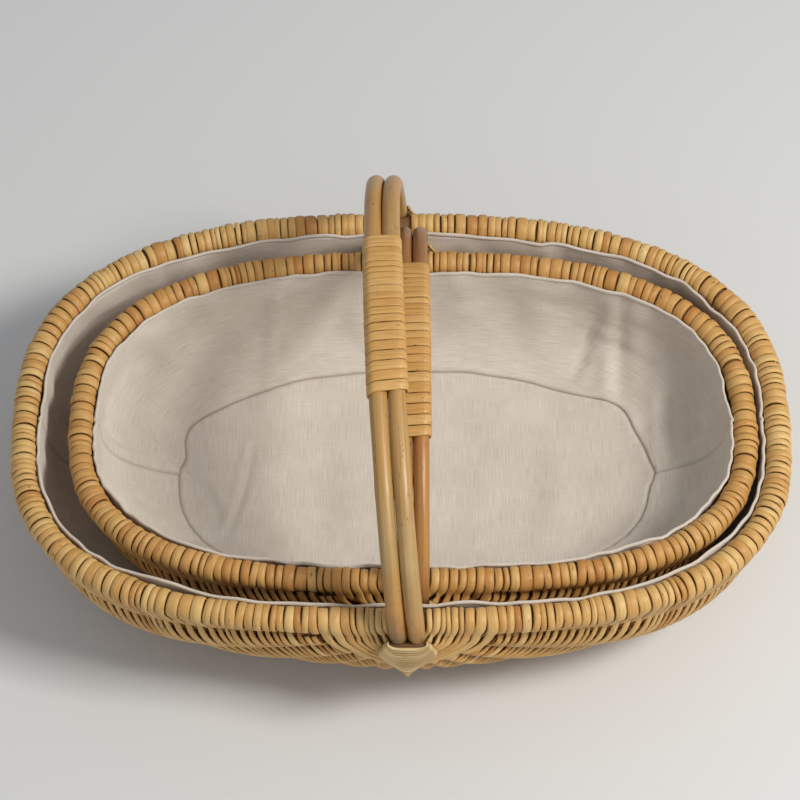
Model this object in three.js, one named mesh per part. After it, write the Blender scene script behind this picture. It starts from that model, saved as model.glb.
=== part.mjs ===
// Nested pair of oval willow baskets with linen liners and hoop handles.
// Frame construction: a rim hoop, ribs running from the front crossing to the back crossing,
// weaving over the ribs and round the hoop, two bent canes for the handle, lashed ears.
// Millimetres, +Z up, long axis on X, front crossing on -Y.  The base stands on z = 0.
import {
  BufferAttribute,
  BufferGeometry,
  Color,
  Group,
  Mesh,
  MeshStandardMaterial,
  ShapeUtils,
  Vector2,
} from 'three';

// ---------------------------------------------------------------- driving dimensions
const GAP = 0.35;             // clearance kept between touching pieces
const RIB_R = 2.7;            // rib rod radius
const WEAVE_CLEAR = 1.2;      // extra room that the facets need over the ribs
const WEAVE_T = 2.6;          // thickness of the woven wall
const LINER_T = 1.6;          // linen, hem and seam allowance together
const CANE_FOOT = -1.5;       // ends of the canes, against the middle of the rim
const BASE_FLAT = 1.6;        // how far the bottom of the weave is pressed flat
const RIM_STEPS = 24;         // straight runs in each half of the rim
const BOWL_POWER = 2.7;       // superellipse exponent of the end-on section
const HOOP_R = 6.0;           // bare rim hoop radius
const SEAT = HOOP_R + GAP;    // inner radius of the wraps round the hoop

const OUTER = {
  prefix: 'outer',
  cx: 0,                      // centre of the rim along X
  halfLength: 250,            // rim centreline half length
  halfWidth: 161,             // rim centreline half width
  rimR: 9.4,                  // radius over the wraps
  rimPower: 2.7,              // superellipse exponent of the plan
  endDip: 9,                  // the ends of the rim hang this much below the crossings
  depth: 106,                 // rim centreline down to the lowest rib centreline
  caneR: 5.5,                 // handle cane radius
  bindT: 1.4,                 // binding thickness on the canes
  archTop: 112,               // arch centreline above the rim
  archPower: 2.1,
  archX: -1.45,               // middle between the two feet of the arch, along X
  archSkew: -5.55,            // how far the back foot stands off that middle, the front foot opposite
  archLean: -9.4,             // sideways lean of the arch at its top
  bindHalf: 62,               // half length of the binding along Y
};
const INNER = {
  prefix: 'inner',
  cx: 8.0,
  halfLength: 220.5,
  halfWidth: 129.6,
  rimR: 8.9,
  rimPower: 2.7,
  endDip: 7,
  depth: 91.4,
  caneR: 5.0,
  bindT: 1.4,
  archTop: 80,
  archPower: 2.0,
  archX: 7.6,
  archSkew: 0,
  archLean: 0,
  bindHalf: 69,
};
const RIM_LIFT = -2;          // inner rim plane above the outer rim plane

const COLOURS = {
  outerWrap: 0xc8a468,
  outerWeave: 0xb7935a,
  outerCane: 0xb29058,
  outerBind: 0xc9a066,
  outerRod: 0x8f6b3c,
  innerWrap: 0xc2955a,
  innerWeave: 0xab8450,
  innerCane: 0xa4703a,
  innerBind: 0xbf8f52,
  innerRod: 0x86602f,
  ear: 0xc9b27f,
  linen: 0xbcb09e,
};

// ---------------------------------------------------------------- small vector helpers
const add = (p, q, k = 1) => [p[0] + q[0] * k, p[1] + q[1] * k, p[2] + q[2] * k];
const sub = (p, q) => [p[0] - q[0], p[1] - q[1], p[2] - q[2]];
const cross = (p, q) => [
  p[1] * q[2] - p[2] * q[1],
  p[2] * q[0] - p[0] * q[2],
  p[0] * q[1] - p[1] * q[0],
];
const size = (p) => Math.hypot(p[0], p[1], p[2]);
const unit = (p) => {
  const s = size(p) || 1;
  return [p[0] / s, p[1] / s, p[2] / s];
};
const mix = (p, q, k) => add(p, sub(q, p), k);
const signedPower = (v, k) => Math.sign(v) * Math.abs(v) ** k;

// Points spaced evenly by length along a polyline, between two fractions of its length.
function resample(points, count, from = 0, to = 1) {
  const run = [0];
  for (let i = 1; i < points.length; i += 1) {
    run.push(run[i - 1] + size(sub(points[i], points[i - 1])));
  }
  const total = run[run.length - 1];
  const out = [];
  let k = 1;
  for (let i = 0; i < count; i += 1) {
    const want = total * (from + ((to - from) * i) / (count - 1));
    while (k < points.length - 1 && run[k] < want) k += 1;
    const part = (want - run[k - 1]) / (run[k] - run[k - 1] || 1);
    out.push(mix(points[k - 1], points[k], part));
  }
  return out;
}

// ---------------------------------------------------------------- the bowl
// Section of the bowl across the crossings axis, as a radius for an angle below the rim.
function bowlRadius(b, angle) {
  const cx = Math.abs(Math.cos(angle)) / b.halfLength;
  const cz = Math.abs(Math.sin(angle)) / b.depth;
  return (cx ** BOWL_POWER + cz ** BOWL_POWER) ** (-1 / BOWL_POWER);
}

// One rib centreline from the front crossing to the back crossing.
function ribLine(b, angle, steps = 160) {
  const r = bowlRadius(b, angle);
  const k = 2 / b.rimPower;
  const line = [];
  for (let i = 0; i <= steps; i += 1) {
    const t = (Math.PI * i) / steps;
    const reach = r * Math.max(Math.sin(t), 0) ** k;
    const x = reach * Math.cos(angle);
    const y = -b.halfWidth * signedPower(Math.cos(t), k);
    const z = -reach * Math.sin(angle) - b.endDip * (x / b.halfLength) ** 2;
    line.push([b.cx + x, y, z]);
  }
  return line;
}

// The bowl as a grid: rows of equal length fraction f along every rib.
const ANGLES = 72;
function bowlSurface(b) {
  const lines = [];
  for (let j = 0; j <= ANGLES; j += 1) lines.push(resample(ribLine(b, (Math.PI * j) / ANGLES), 201));
  return (f, u) => {
    const j = Math.min(Math.max(u * ANGLES, 0), ANGLES - 1e-6);
    const i = Math.min(Math.max(f * 200, 0), 200 - 1e-6);
    const j0 = Math.floor(j);
    const i0 = Math.floor(i);
    const low = mix(lines[j0][i0], lines[j0][i0 + 1], i - i0);
    const high = mix(lines[j0 + 1][i0], lines[j0 + 1][i0 + 1], i - i0);
    return mix(low, high, j - j0);
  };
}

function outward(surface, f, u) {
  const e = 0.006;
  const alongF = sub(surface(Math.min(f + e, 1), u), surface(Math.max(f - e, 0), u));
  const alongU = sub(surface(f, Math.min(u + e, 1)), surface(f, Math.max(u - e, 0)));
  return unit(cross(alongU, alongF));
}

// ---------------------------------------------------------------- solids from rings
// Closed solid through a list of equal rings; a loop closes on itself, else flat ends.
function ringSolid(rings, loop = false) {
  const n = rings[0].length;
  const position = [];
  const index = [];
  rings.forEach((ring) => ring.forEach((p) => position.push(...p)));
  const last = loop ? rings.length : rings.length - 1;
  for (let i = 0; i < last; i += 1) {
    const a0 = i * n;
    const b0 = ((i + 1) % rings.length) * n;
    for (let j = 0; j < n; j += 1) {
      const k = (j + 1) % n;
      index.push(a0 + j, a0 + k, b0 + k, a0 + j, b0 + k, b0 + j);
    }
  }
  if (!loop) {
    const caps = [[0, true], [rings.length - 1, false]];
    caps.forEach(([which, first]) => {
      const base = which * n;
      const tris = capTriangles(rings[which]);
      tris.forEach(([p, q, r]) => {
        if (first) index.push(base + p, base + r, base + q);
        else index.push(base + p, base + q, base + r);
      });
    });
  }
  return facing(position, index);
}

// Triangles over one ring, cut by ears in the ring's own plane.
function capTriangles(ring) {
  const centre = ring.reduce((s, p) => add(s, p, 1 / ring.length), [0, 0, 0]);
  let normal = [0, 0, 0];
  ring.forEach((p, i) => {
    normal = add(normal, cross(sub(p, centre), sub(ring[(i + 1) % ring.length], centre)));
  });
  normal = unit(normal);
  const ux = unit(sub(ring[0], centre));
  const uy = cross(normal, ux);
  const flat = ring.map((p) => {
    const d = sub(p, centre);
    return new Vector2(
      d[0] * ux[0] + d[1] * ux[1] + d[2] * ux[2],
      d[0] * uy[0] + d[1] * uy[1] + d[2] * uy[2],
    );
  });
  return ShapeUtils.triangulateShape(flat, []);
}

// Builds the geometry and turns every face outwards, by the sign of the enclosed volume.
function facing(position, index) {
  let volume = 0;
  const at = (i) => [position[3 * i], position[3 * i + 1], position[3 * i + 2]];
  for (let i = 0; i < index.length; i += 3) {
    const p = at(index[i]);
    const c = cross(at(index[i + 1]), at(index[i + 2]));
    volume += p[0] * c[0] + p[1] * c[1] + p[2] * c[2];
  }
  const turned = [];
  for (let i = 0; i < index.length; i += 3) {
    if (volume < 0) turned.push(index[i], index[i + 2], index[i + 1]);
    else turned.push(index[i], index[i + 1], index[i + 2]);
  }
  const geometry = new BufferGeometry();
  geometry.setAttribute('position', new BufferAttribute(new Float32Array(position), 3));
  geometry.setIndex(turned);
  geometry.computeVertexNormals();
  return geometry;
}

// Solid between two equal grids of points, closed round the border.
function shellSolid(outside, inside, wrapRound = false) {
  const rows = outside.length;
  const cols = outside[0].length;
  const position = [];
  const index = [];
  outside.forEach((row) => row.forEach((p) => position.push(...p)));
  inside.forEach((row) => row.forEach((p) => position.push(...p)));
  const o = (i, j) => i * cols + (j % cols);
  const n = (i, j) => rows * cols + i * cols + (j % cols);
  const quad = (p, q, r, s) => index.push(p, q, r, p, r, s);
  const lastCol = wrapRound ? cols : cols - 1;
  for (let i = 0; i < rows - 1; i += 1) {
    for (let j = 0; j < lastCol; j += 1) {
      quad(o(i, j), o(i, j + 1), o(i + 1, j + 1), o(i + 1, j));
      quad(n(i, j), n(i + 1, j), n(i + 1, j + 1), n(i, j + 1));
    }
  }
  for (let j = 0; j < lastCol; j += 1) {
    quad(o(0, j), n(0, j), n(0, j + 1), o(0, j + 1));
    quad(o(rows - 1, j), o(rows - 1, j + 1), n(rows - 1, j + 1), n(rows - 1, j));
  }
  if (!wrapRound) {
    for (let i = 0; i < rows - 1; i += 1) {
      quad(o(i, 0), o(i + 1, 0), n(i + 1, 0), n(i, 0));
      quad(o(i, cols - 1), n(i, cols - 1), n(i + 1, cols - 1), o(i + 1, cols - 1));
    }
  }
  return facing(position, index);
}

// Rings of a section swept along a line. The section's first axis leans towards `side`.
function sweepRings(line, section, side, loop = false) {
  return line.map((p, i) => {
    const before = loop ? line[(i + line.length - 1) % line.length] : line[Math.max(i - 1, 0)];
    const after = loop ? line[(i + 1) % line.length] : line[Math.min(i + 1, line.length - 1)];
    const along = unit(sub(after, before));
    const want = side(p, along);
    const lift = unit(cross(along, want));
    const out = unit(cross(lift, along));
    return section.map(([a, c]) => add(add(p, out, a), lift, c));
  });
}

const disc = (radius, sides, turn = 0) => Array.from({ length: sides }, (_, i) => {
  const a = turn + (2 * Math.PI * i) / sides;
  return [radius * Math.cos(a), radius * Math.sin(a)];
});

// ---------------------------------------------------------------- pieces of one basket
// Rim centreline as a closed loop of straight runs.
function rimLine(b, steps) {
  const right = resample(ribLine(b, 0), steps + 1);
  const left = resample(ribLine(b, Math.PI), steps + 1).reverse();
  return right.slice(0, -1).concat(left.slice(0, -1));
}

// Sideways place of the arch over a point (y, z) measured from the rim.
function archAcross(b, y, z) {
  const half = b.halfWidth + HOOP_R + GAP + b.caneR;
  return b.archX + (b.archSkew * y) / half + (b.archLean * Math.max(z, 0)) / b.archTop;
}

const awayFromCentre = (b) => (p, along) => {
  const out = unit([along[1], -along[0], 0]);
  const sign = out[0] * (p[0] - b.cx) + out[1] * p[1] < 0 ? -1 : 1;
  return [out[0] * sign, out[1] * sign, 0];
};

function rimHoop(b) {
  return ringSolid(sweepRings(rimLine(b, RIM_STEPS), disc(HOOP_R, 7), awayFromCentre(b), true), true);
}

// The weavers' turns round the hoop: a C section, open where the wall leaves the rim.
function rimWrap(b, sign) {
  const line = resample(ribLine(b, sign > 0 ? 0 : Math.PI), RIM_STEPS + 1);
  const run = size(sub(line[1], line[0]));
  const beside = (y) => 2 * b.caneR + GAP + 0.9 + sign * (archAcross(b, y, 0) - b.cx);
  line[0] = mix(line[0], line[1], beside(-b.halfWidth) / run);
  line[RIM_STEPS] = mix(line[RIM_STEPS], line[RIM_STEPS - 1], beside(b.halfWidth) / run);
  const half = (148 * Math.PI) / 180;
  const face = (70 * Math.PI) / 180;
  const section = [];
  const outerSides = 10;
  const innerSides = 7;
  for (let i = 0; i <= outerSides; i += 1) {
    const a = face - half + (2 * half * i) / outerSides;
    section.push([b.rimR * Math.cos(a), b.rimR * Math.sin(a)]);
  }
  for (let i = innerSides; i >= 0; i -= 1) {
    const a = face - half + (2 * half * i) / innerSides;
    const r = SEAT / Math.cos(half / innerSides);
    section.push([r * Math.cos(a), r * Math.sin(a)]);
  }
  const rings = sweepRings(line, section, awayFromCentre(b));
  // the sweep's second axis must point up on both sides of the basket
  const upright = rings.map((ring, i) => {
    const p = line[i];
    const probe = sub(ring[2], p);
    const want = section[2][1];
    if (Math.sign(probe[2]) === Math.sign(want)) return ring;
    return ring.map((q) => [q[0], q[1], 2 * p[2] - q[2]]);
  });
  return ringSolid(upright);
}

function rib(b, angle, radius, steps, from, to) {
  const line = resample(ribLine(b, angle), steps, from, to);
  const side = (p) => unit([p[0] - b.cx + 1e-3, 0.2 * p[1], p[2] - 40]);
  return ringSolid(sweepRings(line, disc(radius, 6), side));
}

// One band of the woven wall between two row fractions.
function weaveBand(b, surface, from, to, rows, cols) {
  const inner = RIB_R + GAP + WEAVE_CLEAR;
  const outer = inner + WEAVE_T;
  const floor = -(b.depth + outer - BASE_FLAT);
  const clear = b.rimR + 0.9;
  const outside = [];
  const inside = [];
  for (let i = 0; i < rows; i += 1) {
    const f = from + ((to - from) * i) / (rows - 1);
    const rimPoint = [surface(f, 0), surface(f, 1)];
    const dense = [];
    for (let j = 0; j <= 240; j += 1) dense.push(j / 240);
    const distance = (u, k) => {
      const n = outward(surface, f, u);
      const p = add(surface(f, u), n, outer);
      return size(sub(p, rimPoint[k]));
    };
    const kept = dense.filter((u) => {
      const k = u < 0.5 ? 0 : 1;
      const drop = rimPoint[k][2] - surface(f, u)[2];
      return distance(u, k) > clear + 0.9 && drop > b.rimR * 0.75;
    });
    const start = kept[0];
    const end = kept[kept.length - 1];
    const line = [];
    for (let j = 0; j <= 120; j += 1) line.push(surface(f, start + ((end - start) * j) / 120));
    const run = [0];
    for (let j = 1; j < line.length; j += 1) run.push(run[j - 1] + size(sub(line[j], line[j - 1])));
    const total = run[run.length - 1];
    const outRow = [];
    const inRow = [];
    let k = 1;
    for (let j = 0; j < cols; j += 1) {
      const want = (total * j) / (cols - 1);
      while (k < run.length - 1 && run[k] < want) k += 1;
      const part = (want - run[k - 1]) / (run[k] - run[k - 1] || 1);
      const u = start + ((end - start) * (k - 1 + part)) / 120;
      const p = surface(f, u);
      const n = outward(surface, f, u);
      const far = add(p, n, outer);
      const near = add(p, n, inner);
      far[2] = Math.max(far[2], floor);
      outRow.push(far);
      inRow.push(near);
    }
    outside.push(outRow);
    inside.push(inRow);
  }
  return shellSolid(outside, inside);
}

// Arch centreline shifted sideways by `shift`, standing just outside the rim.
function archLine(b, shift, steps) {
  const half = b.halfWidth + HOOP_R + GAP + b.caneR;
  const k = 2 / b.archPower;
  const line = [[0, -half, CANE_FOOT]];
  for (let i = 0; i <= 120; i += 1) {
    const t = (Math.PI * i) / 120;
    const y = -half * signedPower(Math.cos(t), k);
    const z = b.archTop * Math.max(Math.sin(t), 0) ** k;
    line.push([0, y, z]);
  }
  line.push([0, half, CANE_FOOT]);
  return resample(line.map(([, y, z]) => [archAcross(b, y, z) + shift, y, z]), steps);
}

const sideways = () => [1, 0, 0];

function handleCane(b, sign) {
  const shift = sign * (b.caneR + GAP / 2);
  return ringSolid(sweepRings(archLine(b, shift, 29), disc(b.caneR, 8, Math.PI / 8), sideways));
}

// Binding round both canes, an oval sleeve open at both ends.
function gripBinding(b) {
  const line = archLine(b, 0, 181).filter((p) => Math.abs(p[1]) < b.bindHalf);
  const path = resample(line, 12);
  const stadium = (radius) => {
    const out = [];
    const reach = b.caneR + GAP / 2;
    for (let i = 0; i <= 4; i += 1) {
      const a = -Math.PI / 2 + (Math.PI * i) / 4;
      out.push([reach + radius * Math.cos(a), radius * Math.sin(a)]);
    }
    for (let i = 0; i <= 4; i += 1) {
      const a = Math.PI / 2 + (Math.PI * i) / 4;
      out.push([-reach + radius * Math.cos(a), radius * Math.sin(a)]);
    }
    return out;
  };
  const outerRings = sweepRings(path, stadium(b.caneR + b.bindT), sideways);
  const innerRings = sweepRings(path, stadium((b.caneR + GAP) / Math.cos(Math.PI / 8)), sideways);
  return shellSolid(outerRings, innerRings, true);
}

// Lashing over one crossing: a spade under the cane ends, narrow beside the rim, wide below it.
function ear(b, sign) {
  const across = 9;
  const neck = 2 * b.caneR + GAP;
  const low = -b.rimR - 0.9;
  const profile = [
    [CANE_FOOT - 3 * GAP, neck],
    [low, neck],
    [low - 2, 25],
    [low - 10, 25],
    [low - 19, 19],
    [low - 28, 11],
    [low - 37, 3.5],
  ];
  const tip = profile[profile.length - 1][0];
  const half = b.halfWidth + HOOP_R + GAP + b.caneR;
  const middle = archAcross(b, sign * half, 0);
  const outside = [];
  const inside = [];
  profile.forEach(([z, reach], i) => {
    const wall = b.halfWidth * (1 - (-z / b.depth) ** b.rimPower) ** (1 / b.rimPower);
    const onRim = i < 2;
    const back = onRim ? b.halfWidth + HOOP_R + GAP : wall + RIB_R + GAP + WEAVE_CLEAR + WEAVE_T + 1.0;
    const swell = half + b.caneR - (half + b.caneR - back - 3.5) * (z / tip) ** 1.2;
    const front = Math.max(swell, back + 3.5);
    const outRow = [];
    const inRow = [];
    for (let j = 0; j < across; j += 1) {
      const w = (2 * j) / (across - 1) - 1;
      const x = middle + reach * w;
      const bulge = Math.sqrt(Math.max(1 - w * w, 0));
      outRow.push([x, sign * (back + 1.4 + (front - back - 1.4) * bulge), z]);
      inRow.push([x, sign * back, z]);
    }
    outside.push(outRow);
    inside.push(inRow);
  });
  return shellSolid(outside, inside);
}

// Linen liner: a bowl held at the inner side of the rim, standing inside the ribs.
// Its section at each height is the bowl's own plan, drawn in by an inset.
function planReach(b, inset, turn, z) {
  const a = b.halfLength - inset;
  const w = b.halfWidth - inset;
  const d = b.depth - inset;
  const cx = Math.abs(Math.cos(turn)) / a;
  const cy = Math.abs(Math.sin(turn)) / w;
  const cz = Math.max(-z, 0) / d;
  let low = 0;
  let high = a;
  for (let i = 0; i < 40; i += 1) {
    const r = (low + high) / 2;
    const side = ((cx * r) ** BOWL_POWER + cz ** BOWL_POWER) ** (b.rimPower / BOWL_POWER);
    if (side + (cy * r) ** b.rimPower > 1) high = r;
    else low = r;
  }
  return low;
}

function liner(b) {
  const around = 40;
  const wallInset = RIB_R + GAP + 0.9;
  const rimInset = b.rimR + 0.7;
  const top = 4.5;
  const floorOut = -0.985 * (b.depth - wallInset);
  const rows = [0, 0.1, 0.24, 0.44, 0.64, 0.8, 0.9, 0.955, 0.985, 1];
  const turns = [];
  for (let j = 0; j < around; j += 1) {
    const t = (2 * Math.PI * (j + 0.5)) / around;
    turns.push(Math.atan2(b.halfWidth * Math.sin(t), b.halfLength * Math.cos(t)));
  }
  const grid = (extra, floor) => rows.map((s) => {
    const z = top + (floor - top) * s;
    const near = Math.min(Math.max((z + 24) / 14, 0), 1);
    const inset = wallInset + (rimInset - wallInset) * near + extra;
    return turns.map((turn) => {
      const r = planReach(b, inset, turn, Math.min(z, 0));
      const x = r * Math.cos(turn);
      const dip = b.endDip * (x / b.halfLength) ** 2;
      return [b.cx + x, r * Math.sin(turn), Math.max(z - dip, floor)];
    });
  });
  const outside = grid(0, floorOut);
  const inside = grid(LINER_T, floorOut + LINER_T);
  return bowlSolid(outside, inside, b, floorOut);
}

// Bowl shell from outside and inside rings, with both floors closed at the middle.
function bowlSolid(outside, inside, b, floorOut) {
  const cols = outside[0].length;
  const rows = outside.length;
  const position = [];
  const index = [];
  outside.forEach((row) => row.forEach((p) => position.push(...p)));
  inside.forEach((row) => row.forEach((p) => position.push(...p)));
  const o = (i, j) => i * cols + (j % cols);
  const n = (i, j) => rows * cols + i * cols + (j % cols);
  const quad = (p, q, r, s) => index.push(p, q, r, p, r, s);
  for (let i = 0; i < rows - 1; i += 1) {
    for (let j = 0; j < cols; j += 1) {
      quad(o(i, j), o(i, j + 1), o(i + 1, j + 1), o(i + 1, j));
      quad(n(i, j), n(i + 1, j), n(i + 1, j + 1), n(i, j + 1));
    }
  }
  for (let j = 0; j < cols; j += 1) quad(o(0, j), n(0, j), n(0, j + 1), o(0, j + 1));
  const below = position.length / 3;
  position.push(b.cx, 0, floorOut);
  const above = position.length / 3;
  position.push(b.cx, 0, floorOut + LINER_T);
  for (let j = 0; j < cols; j += 1) {
    index.push(o(rows - 1, j), o(rows - 1, j + 1), below);
    index.push(n(rows - 1, j + 1), n(rows - 1, j), above);
  }
  return facing(position, index);
}

// ---------------------------------------------------------------- assembly
const group = new Group();

function place(name, geometry, colour, roughness, lift) {
  geometry.translate(0, 0, lift);
  const material = new MeshStandardMaterial({ color: new Color(colour), roughness, metalness: 0 });
  material.name = `${name}_material`;
  const mesh = new Mesh(geometry, material);
  mesh.name = name;
  group.add(mesh);
}

// Rib name, angle below the rim, and how far from the crossing the rib is pushed in.
const RIBS = [
  ['a', 15, 0.125],
  ['b', 30, 0.085],
  ['c', 45, 0.065],
  ['d', 60, 0.065],
  ['e', 75, 0.065],
];
// Band name, from and to as fractions of the way from crossing to crossing, rows of facets.
const BANDS = [
  ['weave_front', 0.055, 0.335, 6],
  ['weave_middle', 0.3362, 0.6638, 8],
  ['weave_back', 0.665, 0.945, 6],
];
const WEAVE_COLUMNS = 29;
const RIB_STATIONS = 19;

function buildBasket(b, lift) {
  const surface = bowlSurface(b);
  const c = (part) => COLOURS[`${b.prefix}${part}`];
  const name = (part) => `${b.prefix}_${part}`;
  place(name('rim_hoop'), rimHoop(b), c('Rod'), 0.6, lift);
  place(name('rim_wrap_right'), rimWrap(b, 1), c('Wrap'), 0.5, lift);
  place(name('rim_wrap_left'), rimWrap(b, -1), c('Wrap'), 0.5, lift);
  place(name('handle_cane_left'), handleCane(b, -1), c('Cane'), 0.42, lift);
  place(name('handle_cane_right'), handleCane(b, 1), c('Cane'), 0.42, lift);
  place(name('grip_binding'), gripBinding(b), c('Bind'), 0.45, lift);
  place(name('keel'), rib(b, Math.PI / 2, RIB_R, RIB_STATIONS, 0.045, 0.955), c('Rod'), 0.6, lift);
  RIBS.forEach(([part, degrees, start]) => {
    const angle = (degrees * Math.PI) / 180;
    const right = rib(b, angle, RIB_R, RIB_STATIONS, start, 1 - start);
    const left = rib(b, Math.PI - angle, RIB_R, RIB_STATIONS, start, 1 - start);
    place(name(`rib_right_${part}`), right, c('Rod'), 0.6, lift);
    place(name(`rib_left_${part}`), left, c('Rod'), 0.6, lift);
  });
  BANDS.forEach(([part, from, to, rows]) => {
    place(name(part), weaveBand(b, surface, from, to, rows, WEAVE_COLUMNS), c('Weave'), 0.6, lift);
  });
  place(name('ear_front'), ear(b, -1), COLOURS.ear, 0.5, lift);
  place(name('ear_back'), ear(b, 1), COLOURS.ear, 0.5, lift);
  place(name('liner'), liner(b), COLOURS.linen, 0.95, lift);
}

const weaveOut = RIB_R + GAP + WEAVE_CLEAR + WEAVE_T;
const outerLift = OUTER.depth + weaveOut - BASE_FLAT;
buildBasket(OUTER, outerLift);
buildBasket(INNER, outerLift + RIM_LIFT);

export default group;
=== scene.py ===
import math

import bpy
import numpy as np
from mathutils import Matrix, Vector


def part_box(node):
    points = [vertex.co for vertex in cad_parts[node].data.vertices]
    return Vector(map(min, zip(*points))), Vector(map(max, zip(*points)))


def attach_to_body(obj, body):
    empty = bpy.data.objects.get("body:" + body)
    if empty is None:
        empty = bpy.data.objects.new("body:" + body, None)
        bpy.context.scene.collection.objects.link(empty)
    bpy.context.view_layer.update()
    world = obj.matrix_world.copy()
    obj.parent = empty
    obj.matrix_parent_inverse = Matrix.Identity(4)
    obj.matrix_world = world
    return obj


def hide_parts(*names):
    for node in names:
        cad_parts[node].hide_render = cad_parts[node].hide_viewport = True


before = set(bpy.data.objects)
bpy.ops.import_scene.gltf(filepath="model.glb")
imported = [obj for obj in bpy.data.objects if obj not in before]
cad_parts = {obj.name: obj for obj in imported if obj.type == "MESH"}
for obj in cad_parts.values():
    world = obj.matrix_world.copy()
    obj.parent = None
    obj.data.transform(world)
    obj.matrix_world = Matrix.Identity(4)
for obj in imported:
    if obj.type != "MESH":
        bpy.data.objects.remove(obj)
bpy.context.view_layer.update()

SEED = 11

# ------------------------------------------------------------------ sizes, in metres
MM = 0.001
HOOP_R = 6.0 * MM
HOOP_TOP = 5.85 * MM          # top of the seven-sided CAD hoop above its centreline
RIB_R = 2.7 * MM
POWER = 2.7                   # superellipse exponent of plan and section
LINER_IN = 5.6 * MM           # visible face of the linen inside the rib centrelines
SWELL = 11.0 * MM             # how far the wall swells below the crossings
SWELL_REACH = 62 * MM
RIB_STEPS, ARCH_STEPS = 400, 600    # points of a rib line and of the handle's line before resampling


class Basket:
    """Sizes of one basket, read from the CAD nodes."""

    def __init__(self, prefix, rim_r, arch_power, look):
        self.prefix = prefix
        self.body = prefix + "_basket"
        self.look = look
        lo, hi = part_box(prefix + "_rim_hoop")
        self.cx = (lo.x + hi.x) / 2
        self.a = (hi.x - lo.x) / 2 - HOOP_R
        self.b = (hi.y - lo.y) / 2 - HOOP_R
        self.z = hi.z - HOOP_TOP
        self.dip = (hi.z - lo.z) - 2 * HOOP_TOP
        keel_lo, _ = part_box(prefix + "_keel")
        self.depth = self.z - (keel_lo.z + RIB_R)
        self.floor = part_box(prefix + "_weave_middle")[0].z
        self.rim_r = rim_r
        self.arch_power = arch_power
        self.read_arch()
        b_lo, b_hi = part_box(prefix + "_grip_binding")
        self.bind_half = (b_hi.y - b_lo.y) / 2 - 0.6 * MM
        self.make_surface()

    def read_arch(self):
        """The plane of the arch by least squares over the corners of both canes."""
        corners, spread = [], []
        for side in ("left", "right"):
            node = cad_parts[f"{self.prefix}_handle_cane_{side}"]
            corners.append(np.array([v.co for v in node.data.vertices], float))
        x, y, z = np.concatenate(corners).T
        self.cane_foot = z.min()
        table = np.stack([np.ones(len(x)), y, np.maximum(z - self.z, 0)], -1)
        self.arch_fit = np.linalg.lstsq(table, x, rcond=None)[0]
        for co in corners:
            left_over = co[:, 0] - self.arch_across(co[:, 1], co[:, 2] - self.z)
            spread.append(np.ptp(left_over))
        self.cane_r = float(np.mean(spread)) / 2 / math.cos(math.pi / 8)
        edge = self.cane_r * math.cos(math.pi / 8)
        self.arch_half = y.max() - edge
        self.arch_top = z.max() - edge - self.z
        self.foot_front = self.arch_across(-self.arch_half, 0)
        self.foot_back = self.arch_across(self.arch_half, 0)

    def arch_across(self, y, z):
        return self.arch_fit[0] + self.arch_fit[1] * y + self.arch_fit[2] * np.maximum(z, 0)

    # the bowl on which the rib centrelines lie
    def rib_line(self, angle):
        t = np.linspace(0, math.pi, RIB_STEPS + 1)
        m = POWER
        across, down = abs(math.cos(angle) / self.a), abs(math.sin(angle) / self.depth)
        r = (across ** m + down ** m) ** (-1 / m)
        k = 2 / POWER
        reach = r * np.clip(np.sin(t), 0, None) ** k
        x = reach * math.cos(angle)
        y = -self.b * signed_power(np.cos(t), k)
        z = -reach * math.sin(angle) - self.dip * (x / self.a) ** 2
        # the crossings stand where the feet of the handle are
        foot = np.where(y < 0, self.foot_front, self.foot_back) - self.cx
        near = np.exp(-(x / (60 * MM)) ** 2) * (np.abs(y) / self.b) ** 6
        return np.stack([self.cx + x + foot * near, y, self.z + z], -1)

    def make_surface(self):
        self.nu, self.nf = 144, 240
        angles = [math.pi * j / self.nu for j in range(self.nu + 1)]
        grid = np.array([resample(self.rib_line(angle), self.nf + 1) for angle in angles])
        du = np.gradient(grid, axis=0)
        df = np.gradient(grid, axis=1)
        normal = np.cross(du, df)
        length = np.linalg.norm(normal, axis=-1, keepdims=True)
        normal /= length + 1e-12
        self.grid, self.normal = grid, normal
        self.half_rim = float(np.linalg.norm(np.diff(grid[0], axis=0), axis=1).sum())
        # metres across the rows per unit of f
        self.spacing = length[..., 0] / (np.linalg.norm(du, axis=-1) + 1e-9) * self.nf
        self.to_crossing = np.minimum(np.linalg.norm(grid - grid[0, 0], axis=-1),
                                      np.linalg.norm(grid - grid[0, -1], axis=-1))

    def at(self, what, f, u):
        f = np.clip(np.asarray(f, float) * self.nf, 0, self.nf - 1e-6)
        u = np.clip(np.asarray(u, float) * self.nu, 0, self.nu - 1e-6)
        i, j = f.astype(int), u.astype(int)
        s, t = f - i, u - j
        if what.ndim == 3:
            s, t = s[..., None], t[..., None]
        return ((what[j, i] * (1 - s) + what[j, i + 1] * s) * (1 - t)
                + (what[j + 1, i] * (1 - s) + what[j + 1, i + 1] * s) * t)

    def swell(self, f, u):
        """Near the crossings the ribs bunch up and push the wall outwards."""
        near = self.at(self.to_crossing, f, u)
        push = SWELL * np.exp(-(near / SWELL_REACH) ** 2)
        return push * np.sin(math.pi * np.asarray(u)) ** 0.6

    def arch_line(self):
        t = np.linspace(0, math.pi, ARCH_STEPS + 1)
        k = 2 / self.arch_power
        y = -self.arch_half * signed_power(np.cos(t), k)
        z = self.arch_top * np.clip(np.sin(t), 0, None) ** k
        return np.stack([self.arch_across(y, z), y, self.z + z], -1)


def run_along(points):
    """Distance from the start at every point of a polyline."""
    return np.concatenate([[0], np.cumsum(np.linalg.norm(np.diff(points, axis=0), axis=1))])


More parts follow.
